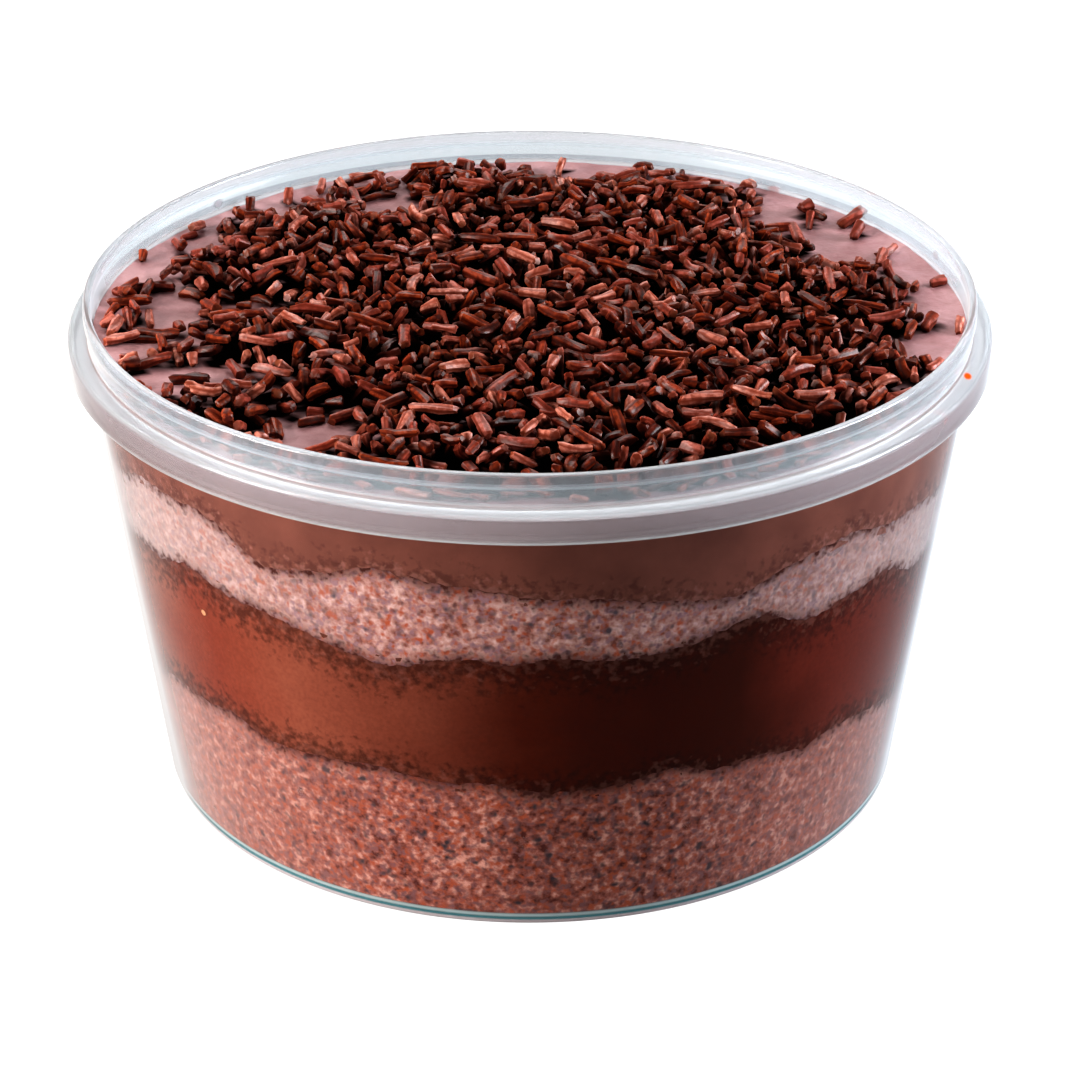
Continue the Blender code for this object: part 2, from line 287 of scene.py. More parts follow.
# %% [markdown]
# ## The tub
# It is injection moulded in one go: a thin tapered wall, a floor that is raised a little so that only
# a ring touches the table, and a neck with a small bead over which a lid would snap. A skirt hangs
# from a ledge round the neck and stiffens the rim. Moulded edges are never sharp, so each corner of
# the section is a small arc, and these arcs catch the light as the thin bright lines round the rim.

# %% The tub's section, from the middle of its floor up, over the rim and down outside
RIM_ROUND = 0.28 * MM
BEAD_RADIUS = 48.7 * MM
BEAD_BOTTOM = 54.6 * MM
BEAD_SLOPE = 0.5 * MM
LEDGE_TOP = 52.4 * MM
LEDGE_THICKNESS = 0.7 * MM
SKIRT_BOTTOM = 49.2 * MM
SKIRT_THICKNESS = 0.7 * MM
SKIRT_ROUND = 0.45 * MM
SKIRT_EDGE = 0.3 * MM
FLOOR_BOTTOM = 0.75 * MM
FLOOR_DISC = 10 * MM
INNER_CORNER = 0.6 * MM
FOOT_EDGE = 0.35 * MM
FOOT_WIDTH = 1.1 * MM
FOOT_SLOPE = 0.3 * MM
SMALL_ROUND = 0.15 * MM
BEND_FROM = 0.6 * MM  # below the height where the inner face turns from tapered to upright
BEND_TO = 0.4 * MM  # above it
TUB_AROUND = 240
TUB_SHARP = 40  # degrees

wall_lean = math.degrees(math.atan(TAPER))
straight = (RIM_INNER_RADIUS + WALL - FOOT_RADIUS) / TAPER
skirt_inside = SKIRT_RADIUS - SKIRT_THICKNESS
ledge_bottom = LEDGE_TOP - LEDGE_THICKNESS
foot_inside = FOOT_RADIUS - FOOT_EDGE - FOOT_WIDTH
corner_height = FLOOR_TOP + INNER_CORNER
corner_radius = FOOT_RADIUS + TAPER * corner_height - WALL - INNER_CORNER * math.hypot(1, TAPER)
tub_section = [
    (FLOOR_DISC, FLOOR_TOP),
    *arc((corner_radius, corner_height), INNER_CORNER, -90, -wall_lean, 6),
    (RIM_INNER_RADIUS - TAPER * BEND_FROM, straight - BEND_FROM),
    (RIM_INNER_RADIUS, straight + BEND_TO),
    *arc((RIM_INNER_RADIUS + RIM_ROUND, TUB_HEIGHT - RIM_ROUND), RIM_ROUND, 180, 90, 4),
    *arc((BEAD_RADIUS - RIM_ROUND, TUB_HEIGHT - RIM_ROUND), RIM_ROUND, 90, 0, 4),
    *arc((BEAD_RADIUS - SMALL_ROUND, BEAD_BOTTOM), SMALL_ROUND, 0, -45, 2),
    (NECK_RADIUS, BEAD_BOTTOM - BEAD_SLOPE),
    *arc((NECK_RADIUS + SMALL_ROUND, LEDGE_TOP + SMALL_ROUND), SMALL_ROUND, 180, 270, 3),
    *arc((SKIRT_RADIUS - SKIRT_ROUND, LEDGE_TOP - SKIRT_ROUND), SKIRT_ROUND, 90, 0, 5),
    *arc((SKIRT_RADIUS - SKIRT_EDGE, SKIRT_BOTTOM + SKIRT_EDGE), SKIRT_EDGE, 0, -90, 4),
    *arc((skirt_inside + SKIRT_EDGE, SKIRT_BOTTOM + SKIRT_EDGE), SKIRT_EDGE, 270, 180, 4),
    *arc((skirt_inside - SMALL_ROUND, ledge_bottom - SMALL_ROUND), SMALL_ROUND, 0, 90, 3),
    *arc((NECK_RADIUS + SMALL_ROUND, ledge_bottom - SMALL_ROUND), SMALL_ROUND, 90, 180, 3),
    (NECK_RADIUS, NECK_BOTTOM),
    *arc((FOOT_RADIUS - FOOT_EDGE, FOOT_EDGE), FOOT_EDGE, -wall_lean, -90, 4),
    *arc((foot_inside + SMALL_ROUND, SMALL_ROUND), SMALL_ROUND, 270, 180, 3),
    (foot_inside - FOOT_SLOPE, FLOOR_BOTTOM),
    (FLOOR_DISC, FLOOR_BOTTOM),
]
tub = extrude_rings("tub_shell", tub_section, TUB_AROUND)
print("tub:", len(tub_section), "rings of", TUB_AROUND, "points")

# %% [markdown]
# ## Polypropylene
# It is clear but never as clear as glass: tiny crystals in it scatter a little light, so it looks
# milky where it is thick, as at the skirt, and where the eye looks along the wall. Where food wets it,
# it is nearly clear. The finish is a refracting shader with an index of 1.49, mixed with a white that
# spreads light both ways. Each face adds its share of milk, so two walls are milkier than one. The
# foot, the skirt's edge, the ledge, the bead and the rim are milkier lines, painted highlights for the
# bright lines that these edges catch, and the foot's ring shows a dark teal one, which is painted shade.
# A grey veil thickens steeply at a glancing angle. At the left the veil is painted stronger, as painted
# glare of the left lamp, and both veil and milk are painted darker, as painted shade. For rays to the
# lamps the wall is simply clear, so the lamps reach the cake.

# %% Make the polypropylene
# Bands at the foot and at the edges are painted highlights; the foot's teal band is painted shade.
MILK_AND_PAINTED_LINES = {
    # height of a landmark: stops of millimetres above it and the share of milk on each face
    0.0: [
        (0.0, 0.35), (0.1, 0.35), (0.16, 0.75), (0.5, 0.75), (0.56, 0.60),
        (0.9, 0.60), (0.96, 0.75), (1.3, 0.75), (1.42, 0.004),
    ],
    SKIRT_BOTTOM: [(-0.3, 0.004), (0.02, 0.50), (0.2, 0.50), (0.4, 0.38)],
    LEDGE_TOP: [(-0.4, 0.38), (-0.2, 0.50), (0.02, 0.50), (0.2, 0.25)],
    BEAD_BOTTOM: [(-0.35, 0.23), (-0.15, 0.42), (0.05, 0.42), (0.25, 0.20)],
    TUB_HEIGHT: [(-0.3, 0.20), (-0.1, 0.40), (0.0, 0.40)],
}
# The same painted lines: the light bands are painted highlights, the foot's teal one painted shade.
TINTS_AND_PAINTED_LINES = {
    # the same, with the colour of the light that gets through, and the colour of the milk
    0.0: [
        (0.1, "#d4cfd1", "#a8aaaa"), (0.16, "#e4dfe1", "#f0e6ea"), (0.5, "#e4dfe1", "#f0e6ea"),
        (0.56, "#588e92", "#2a7a82"), (0.9, "#588e92", "#2a7a82"), (0.96, "#d8e8e8", "#d4f2f4"),
        (1.3, "#e0e8e8", "#dcecee"), (1.45, "#e3e5e7", "#d0c8c7"), (1.8, "#e3e5e7", "#c8c6c6"),
    ],
    SKIRT_BOTTOM: [
        (-0.4, "#e3e5e7", "#c8c6c6"), (0.02, "#d9dcdc", "#cbd0d0"),
        (0.2, "#d9dcdc", "#cbd0d0"), (0.4, "#d1c9c9", "#aaa3a6"),
    ],
    LEDGE_TOP: [
        (-0.4, "#d1c9c9", "#aaa3a6"), (-0.2, "#d9dee0", "#cad0d2"),
        (0.02, "#d9dee0", "#cad0d2"), (0.2, "#dadfe2", "#bac0c4"),
    ],
    BEAD_BOTTOM: [(0.0, "#d9dfe2", "#b8c0c5"), (0.3, "#dadce0", "#b9bcc0")],
    TUB_HEIGHT: [(-0.3, "#dadce0", "#b9bcc0"), (0.0, "#dee0e2", "#c9cacb")],
}
VEIL_GREY = "#bcbdbf"
VEIL_STEEPNESS = 7.4
# The veil is painted stronger at the left end, as painted glare of the left lamp.
VEIL_LEFT = 2.3  # how strong the veil is at the left end of the foot
VEIL_RIGHT = 1.5
# Painted shade: at the left the milk and the veil are painted darker.
LEFT_PAINTED_SHADE = 0.86  # what is left of the milk's and the veil's brightness at the left end
LEFT_SHADE_RADII = (-NECK_RADIUS, -0.4 * NECK_RADIUS)  # between which it rises to the full brightness
STREAK_SPACING = 9 * MM
STREAK_STRETCH = 0.15  # of the height, so that streaks run up the wall
MILK_THROUGH = 0.4  # share of the milk's light that goes on through the wall
MARK_EDGE = (0.6, 1.2)  # shares of a mark's half widths between which it fades out
MARKS = (
    # place and half width along x, y and z in millimetres, colour, strength
    ((46.2, -17.0, 52.4), (0.42, 0.9, 0.5), "#e2530c", 1.0),
    ((42.2, -25.6, 51.4), (0.55, 0.6, 0.55), "#b06a66", 0.45),
    ((-36.8, 30.6, 53.4), (0.75, 0.8, 0.6), "#8f8084", 0.35),
    ((45.9, 13.4, 53.8), (0.6, 0.8, 0.5), "#9a8688", 0.35),
    ((29.1, 38.0, 52.3), (1.0, 0.8, 0.5), "#b3605c", 0.45),
    ((-34.1, -30.8, 31.5), (0.42, 0.45, 0.42), "#e0a884", 0.6),
)


def up_the_tub(bands, column):
    """The stops of a ramp over the tub's height, with the values in a column of the bands."""
    return [((mark + stop[0] * MM) / TUB_HEIGHT, stop[column]) for mark in bands for stop in bands[mark]]


def polypropylene():
    """Clear, slightly milky moulded plastic with a few small marks on it."""
    made, add = new_material("moulded polypropylene")
    place = add("TexCoord").outputs["Object"]
    along = add("SeparateXYZ", {"Vector": place}).outputs
    level = add("Math", {0: along["Z"], 1: 1 / TUB_HEIGHT}, operation="MULTIPLY")
    flow = add("Mapping", {"Vector": place, "Scale": (1, 1, STREAK_STRETCH)})
    streaks = add("TexNoise", {"Vector": flow, "Scale": 1 / STREAK_SPACING, "Detail": 1.0})
    clear = add(
        "BsdfPrincipled",
        {
            "Base Color": add("ValToRGB", {"Fac": level}, up_the_tub(TINTS_AND_PAINTED_LINES, 1)),
            "Roughness": 0.13,
            "IOR": 1.49,
            "Specular IOR Level": 0.35,
            "Transmission Weight": 1.0,
            "Normal": add("Bump", {"Height": streaks, "Strength": 0.025, "Distance": 0.02 * MM}),
        },
    )
    # Painted shade: the milk and the veil darken towards the left end.
    low, high = LEFT_SHADE_RADII
    painted_shade_left = {"Value": along["X"], "From Min": low, "From Max": high, "To Min": LEFT_PAINTED_SHADE}
    painted_shade_left = add("MapRange", painted_shade_left)
    white = add("ValToRGB", {"Fac": level}, up_the_tub(TINTS_AND_PAINTED_LINES, 2))
    white = add("VectorMath", {0: white, "Scale": painted_shade_left}, operation="SCALE")
    front = add("BsdfDiffuse", {"Color": white})
    through = add("BsdfTranslucent", {"Color": white})
    milk = add("MixShader", {0: MILK_THROUGH, 1: front, 2: through})
    grey = add("VectorMath", {0: linear(VEIL_GREY)[:3], "Scale": painted_shade_left}, operation="SCALE")
    facing = add("LayerWeight", {"Blend": 0.5}).outputs["Facing"]
    sharply = add("Math", {0: facing, 1: VEIL_STEEPNESS}, operation="POWER")
    # Painted glare: the veil is stronger towards the left end.
    ends = {"From Min": -FOOT_RADIUS, "From Max": FOOT_RADIUS, "To Min": VEIL_LEFT, "To Max": VEIL_RIGHT}
    fog = add("MapRange", {"Value": along["X"], **ends})
    glancing = add("Math", {0: sharply, 1: fog}, operation="MULTIPLY", use_clamp=True)
    coats = [
        (add("ValToRGB", {"Fac": level}, up_the_tub(MILK_AND_PAINTED_LINES, 1)), milk),
        (glancing, add("BsdfDiffuse", {"Color": grey})),
    ]
    for centre, sizes, colour, strength in MARKS:
        off = add("VectorMath", {0: place, 1: Vector(centre) * MM}, operation="SUBTRACT")
        off = add("VectorMath", {0: off, 1: Vector(sizes) * MM}, operation="DIVIDE")
        apart = add("VectorMath", {0: off}, operation="LENGTH").outputs["Value"]
        fade = {"From Min": MARK_EDGE[0], "From Max": MARK_EDGE[1], "To Min": strength, "To Max": 0.0}
        marked = add("MapRange", {"Value": apart, **fade})
        coats.append((marked, add("BsdfDiffuse", {"Color": linear(colour)})))
    window = add("BsdfTransparent", {"Color": linear("#f6f7f8")})
    coats.append((add("LightPath").outputs["Is Shadow Ray"], window))
    body = clear
    for share, over in coats:
        body = add("MixShader", {0: share, 1: body, 2: over})
    add("OutputMaterial", {"Surface": body})
    return made


shade(tub, TUB_SHARP)
tub.data.materials.append(polypropylene())
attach(tub, "root")
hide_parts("tub")
print("tub shell replaces the tub")

# %% [markdown]
# ## Where the layers meet
# Nobody levels the layers of such a cake, so each face between two of them rises and falls round the
# wall. It has a mean height and a few swells. Towards the back slow waves take over, and quick ones
# make the edge ragged. These are the same faces as the solids have.

# %% The faces between the layers
BACK_WAVES = (2, 3, 5)
BACK_RISE = 0.9 * MM
CRUMB_WAVES = (13, 19, 27)
CRUMB_RISE = 0.22 * MM


def uneven_face(level, swells, seed):
    """A function of (angle, share of the radius), arrays both, for the height of a face. The swells are
    (degrees from the front, half width in degrees, rise in millimetres)."""
    draw = np.random.default_rng(seed)
    slow = list(zip(BACK_WAVES, draw.uniform(0, TURN, len(BACK_WAVES))))
    quick = list(zip(CRUMB_WAVES, draw.uniform(0, TURN, len(CRUMB_WAVES))))

    def height(angle, share):
        degrees = (np.degrees(angle) + 180) % 360 - 180
        rise = sum(lift * MM * np.exp(-(((degrees - at) / width) ** 2)) for at, width, lift in swells)
        behind = (1 - np.cos(angle)) / 2
        rise = rise + BACK_RISE * behind * sum(np.cos(n * angle + phase) for n, phase in slow)
        rise = rise + CRUMB_RISE * sum(np.cos(n * angle + phase) for n, phase in quick)
        return level + rise * share**2

    return height


def shifted(face, rise):
    """A face raised by a height."""
    return lambda angle, share: face(angle, share) + rise


LOWER_CAKE_LEVEL = 17.3 * MM
FILLING_LEVEL = 33.9 * MM
UPPER_CAKE_LEVEL = 41.6 * MM
LOWER_CAKE_SWELLS = ((-49, 17, 2.3), (-17, 12, 1.5), (19, 6, 1.8), (76, 19, -4.0))
FILLING_SWELLS = ((-46, 12, 2.0), (-20, 10, -1.2), (30, 8, 1.8), (53, 6, 1.8), (73, 16, -2.8))
UPPER_CAKE_SWELLS = (
    (-52, 15, 3.0), (-35, 4, -1.6), (-15, 12, 1.8), (22, 11, -2.0), (44, 5, 1.2), (79, 17, -2.9),
)
lower_cake_top = uneven_face(LOWER_CAKE_LEVEL, LOWER_CAKE_SWELLS, 1)
filling_top = uneven_face(FILLING_LEVEL, FILLING_SWELLS, 2)
upper_cake_top = uneven_face(UPPER_CAKE_LEVEL, UPPER_CAKE_SWELLS, 3)
fronts = [face(np.zeros(1), np.ones(1))[0] for face in (lower_cake_top, filling_top, upper_cake_top)]
print("faces at the front, in mm:", [round(h / MM, 1) for h in fronts])

# %% [markdown]
# ## Pressing a layer into the tub
# A layer starts as a tower one metre wide and high: rings across its top, down its side and back under
# it. Then every ring is moved to its place. A point's height in the tower says how far it lies between
# the layer's two faces, and its radius says how far out. The side reaches a tenth of a millimetre into
# the wall, as soft food wets the plastic and leaves no air between.

# %% Press a tower into the tub
REACH = 0.1 * MM
ON_SIDE = 0.999  # share of the radius above which a point lies on the side


def press_layer(piece, lower, upper, reach, relief=None):
    """Moves a unit tower's points between two faces and out to the wall. relief takes the points of the
    side and gives them moved. Notes how far each point lies below the upper and above the lower face."""
    points = points_of(piece)
    angle = np.arctan2(points[:, 0], -points[:, 1])
    share = np.hypot(points[:, 0], points[:, 1])
    level = points[:, 2]
    low, high = lower(angle, share), upper(angle, share)
    height = low + (high - low) * level
    side = share > ON_SIDE
    spread = wall_inside(height) + reach
    radius = share * spread
    placed = np.column_stack((radius * np.sin(angle), -radius * np.cos(angle), height))
    if relief is not None:
        placed[side] = relief(placed[side], low[side], high[side])
    move_points(piece, placed)
    note(piece.data, "below_top", (high - height) / MM)
    note(piece.data, "above_foot", (height - low) / MM)


def unit_tower(name, across, rows, around):
    """A tower one metre high and of one metre radius, with rings at given shares of its radius."""
    side = [(1.0, 1 - row / rows) for row in range(rows + 1)]
    section = [(share, 1.0) for share in across] + side + [(share, 0.0) for share in across[::-1]]
    return extrude_rings(name, section, around)


print("a layer reaches", REACH / MM, "mm into the wall")

# %% [markdown]
# ## Sponge
# Chocolate sponge is an open crumb: cells of a millimetre or less in thin walls of cake. Pressed against
# the wall, the walls of the crumb touch the plastic and the cells stay hollow behind it. So the side is
# set in by noise at two sizes, one for the crumbs and one for the larger holes. The edges to the smooth
# layers are torn by the same crumb.

# %% The crumb of the sponge
CRUMB_SIZE = 1.1 * MM
CRUMB_DEPTH = 0.15 * MM
CRUMB_FROM = 0.12  # how far below 0 the noise falls where the crumb begins to be set in
HOLE_SIZE = 2.6 * MM
HOLE_DEPTH = 0.4 * MM
HOLE_FROM = 0.38  # how far above 0 it rises where a hole begins
FIRM_FOOT = 0.8 * MM
TEAR = 0.2 * MM
TEAR_DEPTH = 1.4 * MM
SEED_STEP = Vector((0.37, 0.71, 0.13))


def crumb(seed):
    """A relief for the side of a sponge, as press_layer takes it."""
    shift = seed * SEED_STEP

    def relief(placed, low, high):
        moved = placed.copy()
        for n, spot in enumerate(placed):
            here = Vector(spot)
            grain = noise.noise(here / CRUMB_SIZE + shift)
            hole = noise.noise(here / HOLE_SIZE + 2 * shift)
            torn = noise.noise(here / CRUMB_SIZE + 3 * shift)
            inward = CRUMB_DEPTH * max(0.0, -grain - CRUMB_FROM)
            inward += HOLE_DEPTH * max(0.0, hole - HOLE_FROM)
            loose = min(1.0, max(0.0, (here.z - FLOOR_TOP) / FIRM_FOOT - 0.5))
            edge = min(1.0, min(here.z - low[n], high[n] - here.z) / TEAR_DEPTH)
            radius = math.hypot(here.x, here.y)
            scale = 1 - inward * loose * edge / radius
            moved[n, 0] *= scale
            moved[n, 1] *= scale
            moved[n, 2] += 2 * TEAR * torn * loose * (1 - edge)
        return moved

    return relief


print("crumbs of", CRUMB_SIZE / MM, "mm and holes of", HOLE_SIZE / MM, "mm")

# %% [markdown]
# ## The finish of the sponge
# A moist cocoa sponge is matte and speckled: crumbs run from a pale rosy brown to a deep one, a few
# are orange or dusty, and the small holes between them look slate grey through the plastic; that grey
# is painted shade in the hollow cells. Cells would give each crumb a hard outline, so the crumbs are a
# noise with two octaves, and the orange ones, the dusty ones and the holes are the peaks of three other
# noises. The bump follows the crumbs and the holes, so what is dark also lies deeper. Towards both sides
# the crumb is painted a greyer, duller brown, as painted haze of the wall's glare at a glancing angle.
# Beside smooth chocolate the crumb is wet, in specks that thin out from the edge. They are coarser than
# real ones, as fine as the picture can show.

# %% Make the sponge's finish
CRUMB_GRAIN = 0.9 * MM
TONE_SPREAD = 0.19  # of the noise, from the middle tone to the deepest and the palest
CLOUD_SPACING = 5 * MM
CLOUD_SHARE = 0.3
ORANGE = {"spacing": 0.8 * MM, "shift": 3 * MM}
DUSTY = {"spacing": 0.7 * MM, "shift": 5 * MM, "above": 0.5}
HOLES = {"spacing": 1.1 * MM, "shift": 8 * MM, "above": 0.58}
PEAK_RISE = 0.2  # of the noise, from where a peak begins to where it is full
# Painted haze: between these distances from the middle the crumb turns duller, for the wall's glare.
HAZE_FROM = 14 * MM
HAZE_TO = 43 * MM
HAZE_SHARE = 0.8
SPECK_SIZE = 0.9 * MM
WET_CRUMB = (4.5, -1.8)  # as specks takes its reach
CRUMB_IN_CHOCOLATE = (9.0, -3.6)


def specks(add, place, depth, reach, size=SPECK_SIZE, detail=2.0, soft=(-0.8, 0.8), most=1.0):
    """A share, up to most, in specks that thin out with the depth from an edge. reach says how many
    millimetres deep they go: so many for a noise of 1, added to so many for a noise of 0."""
    spotted = add("TexNoise", {"Vector": place, "Scale": 1 / size, "Detail": detail})
    far = add("Math", {0: spotted, 1: reach[0], 2: reach[1]}, operation="MULTIPLY_ADD")
    over = add("Math", {0: far, 1: depth}, operation="SUBTRACT")
    return add("MapRange", {"Value": over, "From Min": soft[0], "From Max": soft[1], "To Max": most})


def peaks(add, place, spacing, shift, above):
    """1 where a noise of a spacing peaks above a level, and 0 elsewhere."""
    moved = add("Mapping", {"Vector": place, "Location": (shift, shift, shift)})
    field = add("TexNoise", {"Vector": moved, "Scale": 1 / spacing, "Detail": 1.0})
    return add("MapRange", {"Value": field, "From Min": above, "From Max": above + PEAK_RISE})


def sponge(name, colours, orange_above, edges):
    """Moist cocoa sponge with deep, rosy, pale and dusty crumbs and slate holes painted as shade, and a
    duller brown at both sides painted as the wall's haze. edges names the attributes that hold the depth
    from the smooth layers."""
    deep, rosy, pale, dusty, dull, slate = colours
    made, add = new_material(name)
    place = add("TexCoord").outputs["Object"]
    grain = {"Vector": place, "Scale": 1 / CRUMB_GRAIN, "Detail": 2.0, "Roughness": 0.5}
    crumbs = add("TexNoise", grain)
    cloud = add("TexNoise", {"Vector": place, "Scale": 1 / CLOUD_SPACING, "Detail": 1.0})
    uneven = add("Math", {0: cloud, 1: CLOUD_SHARE, 2: crumbs}, operation="MULTIPLY_ADD")
    middle = 0.5 + CLOUD_SHARE / 2
    stops = [(middle - TONE_SPREAD, deep), (middle, rosy), (middle + TONE_SPREAD, pale)]
    holes = peaks(add, place, **HOLES)
    # Painted haze of the wall's glare, towards both sides.
    across = add("SeparateXYZ", {"Vector": place}).outputs["X"]
    aside = add("Math", {0: across}, operation="ABSOLUTE")
    side_haze = {"Value": aside, "From Min": HAZE_FROM, "From Max": HAZE_TO, "To Max": HAZE_SHARE}
    depths = [add("Attribute", attribute_name=name).outputs["Fac"] for name in edges]
    depth = add("Math", {0: depths[0], 1: depths[-1]}, operation="MINIMUM")
    colour = add("ValToRGB", {"Fac": uneven}, stops)
    for share, coat in (
        (peaks(add, place, above=orange_above, **ORANGE), "#b4654a"),
        (peaks(add, place, **DUSTY), dusty),
        # The slate holes are painted shade in the hollow cells.
        (holes, slate),
        (add("MapRange", side_haze), dull),
        (specks(add, place, depth, WET_CRUMB), "#56302a"),
    ):
        colour = add("MixRGB", {"Fac": share, "Color1": colour, "Color2": linear(coat)})
    sunk = add("Math", {0: holes, 1: -0.6, 2: crumbs}, operation="MULTIPLY_ADD")
    look = {"Roughness": 0.85, "Diffuse Roughness": 1.0, "Specular IOR Level": 0.1}
    bump = add("Bump", {"Height": sunk, "Strength": 0.4, "Distance": 0.2 * MM})
    shader = add("BsdfPrincipled", {"Base Color": colour, "Normal": bump, **look})
    add("OutputMaterial", {"Surface": shader})
    return made


# The painted haze of the sides spans these distances from the middle.
print("the sponge dries from", HAZE_FROM / MM, "to", HAZE_TO / MM, "mm from the middle")

# %% [markdown]
# ## The two sponges
# The lower sponge carries the weight, so it is dense and dark, and it is pressed a little into the
# tub's floor. The upper one is thin and pale and lies between the filling and the cream. Both are
# towers with rings 0.42 mm apart and 720 points round, fine enough for the crumb's relief.

# %% Press the two sponges
SPONGE_AROUND = 720
LAYER_ACROSS = (0.02, 0.6, 0.96)  # shares of the radius at which the flat faces have rings
LAYER_SHARP = 50  # degrees
ROW = 0.42 * MM
FLOOR_PRESS = 0.15 * MM


def on_floor(angle, share):
    """The face on which the lower sponge stands."""
    return FLOOR_TOP - FLOOR_PRESS + 0 * angle


SPONGES = [
    # layer, node, lower and upper face, seed, level for orange, edges, colours
    (
        "lower", "cake_lower", on_floor, lower_cake_top, 1, 0.5, ["below_top"],
        ("#6a3b34", "#ac7164", "#d9aa9b", "#8e6767", "#a6847d", "#4e454b"),
    ),
    (
        "upper", "cake_upper", filling_top, upper_cake_top, 2, 0.52, ["below_top", "above_foot"],
        ("#8a5a50", "#bd958c", "#d9bcb5", "#a08086", "#ad9d9a", "#665960"),
    ),
]
around, ones = np.linspace(0, TURN, 90), np.ones(90)
for layer, node_name, lower, upper, seed, orange_above, edges, colours in SPONGES:
    tallest = (upper(around, ones) - lower(around, ones)).max()
    piece = unit_tower(f"{layer}_sponge", LAYER_ACROSS, int(tallest / ROW), SPONGE_AROUND)
    press_layer(piece, lower, upper, REACH, crumb(seed))
    shade(piece, LAYER_SHARP)
    piece.data.materials.append(sponge(f"cocoa sponge, {layer}", colours, orange_above, edges))
    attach(piece, "root")
    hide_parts(node_name)
    print(piece.name, len(piece.data.polygons), "faces")

# %% [markdown]
# ## The filling
# Chocolate cooked with milk and butter makes a thick paste. It is smooth, dense and dark, and it wets
# the wall all over, so its side is an even face. It sinks a millimetre into the crumb above and below
# it, which hides its own edges, and there it soaks the crumb dark.

# %% Make the filling
SOAK = 1.0 * MM
SMOOTH_AROUND = 360
FILLING_ROWS = 24
SMOOTH_REACH = 0.6 * REACH
FILLING_TONES_AND_PAINTED_LIGHT = (
    # from the left end to the right: painted light, brightest where the left lamp falls and darkest a
    # little right of the front; the wall's milk changes it as well
    (0.1, "#875443"), (0.22, "#7b3a28"), (0.34, "#89513f"), (0.6, "#581f0c"),
    (0.72, "#471406"), (0.84, "#401408"), (0.95, "#63271b"),
)
FILLING_END = 45 * MM
FILLING_CLOUD = 12 * MM
FILLING_UNEVEN = 0.2
FILLING_GRAIN = 0.5 * MM
# The dark specks near the crumb are painted shadow of its torn edge.
SHADOW_AT_TOP = 0.7  # a depth from the top counts only so much, because it soaks further there
CRUMBS_IN_FILLING = 0.25
CRUMB_SHADOW_SPECKS = {"reach": (10.0, -2.7), "size": 0.8 * MM, "detail": 3.0, "soft": (-1.3, 1.3), "most": 0.65}


def filling_finish():
    """Smooth dark chocolate paste, with painted light that is brightest at the left, and dark mottled
    specks near the crumb painted as the crumb's shadow.
    """
    made, add = new_material("cooked chocolate filling")
    place = add("TexCoord").outputs["Object"]
    across = add("SeparateXYZ", {"Vector": place}).outputs["X"]
    cloud = add("TexNoise", {"Vector": place, "Scale": 1 / FILLING_CLOUD, "Detail": 3.0})
    # Painted light: the tones run from left to right, brightest where the left lamp falls.
    spread = add("MapRange", {"Value": across, "From Min": -FILLING_END, "From Max": FILLING_END})
    uneven = add("Math", {0: cloud, 1: FILLING_UNEVEN, 2: spread}, operation="MULTIPLY_ADD")
    grain = add("TexNoise", {"Vector": place, "Scale": 1 / FILLING_GRAIN, "Detail": 3.0})
    grainy = add("MapRange", {"Value": grain, "From Min": 0.35, "From Max": 0.75, "To Max": 0.2})
    near_top = add("Attribute", attribute_name="below_top").outputs["Fac"]
    near_top = add("Math", {0: near_top, 1: SHADOW_AT_TOP}, operation="MULTIPLY")
    near_foot = add("Attribute", attribute_name="above_foot").outputs["Fac"]
    nearest = add("Math", {0: near_top, 1: near_foot}, operation="MINIMUM")
    colour = add("ValToRGB", {"Fac": uneven}, FILLING_TONES_AND_PAINTED_LIGHT)
    for share, coat in (
        (grainy, "#30120c"),
        # Painted shadow of the crumb's edge, in dark specks.
        (specks(add, place, nearest, **CRUMB_SHADOW_SPECKS), "#2c110b"),
        (specks(add, place, nearest, CRUMB_IN_CHOCOLATE, most=CRUMBS_IN_FILLING), "#96685c"),
    ):
        colour = add("MixRGB", {"Fac": share, "Color1": colour, "Color2": linear(coat)})
    shader = {"Base Color": colour, "Roughness": 0.5, "Specular IOR Level": 0.05}
    add("OutputMaterial", {"Surface": add("BsdfPrincipled", shader)})
    return made


filling = unit_tower("chocolate_filling", LAYER_ACROSS, FILLING_ROWS, SMOOTH_AROUND)
press_layer(filling, shifted(lower_cake_top, -SOAK), shifted(filling_top, SOAK), SMOOTH_REACH)
shade(filling, LAYER_SHARP)
filling.data.materials.append(filling_finish())
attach(filling, "root")
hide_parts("filling")
print("filling:", len(filling.data.polygons), "faces")

# %% [markdown]
# ## The cream
# The cream is whipped chocolate, poured while soft, so its top is nearly level, with shallow hollows,
# and it creeps up the wall a little. It is a tower pressed into the tub, too, with many rings across
# its top, because that shows between the sprinkles. Under the thick of the heap no light gets to it,
# so there it fades to black.

# %% Make the cream
CREAM_LEVEL = 51.75 * MM
CREAM_WAVE = 0.18 * MM
CREAM_WAVES = ((1.0, 9 * MM), (0.6, 3.5 * MM), (0.5, 1.9 * MM))
CREAM_CREEP = 0.35 * MM
CREEP_FROM = 0.96  # share of the radius
CREEP_STEEPNESS = 25
CREAM_RINGS = tuple(np.linspace(0.02, 0.99, 60).round(4))
CREAM_ROWS = 12
CRUMBS_IN_CREAM = 0.4
CREAM_CLOUD = 5 * MM
CREAM_GRAIN = 1.2 * MM
BLOTTED = {"reach": (12.0, -4.0), "size": 1.0 * MM, "detail": 3.0, "soft": (-1.0, 1.2), "most": 0.5}
GLOOM = "#0b0302"


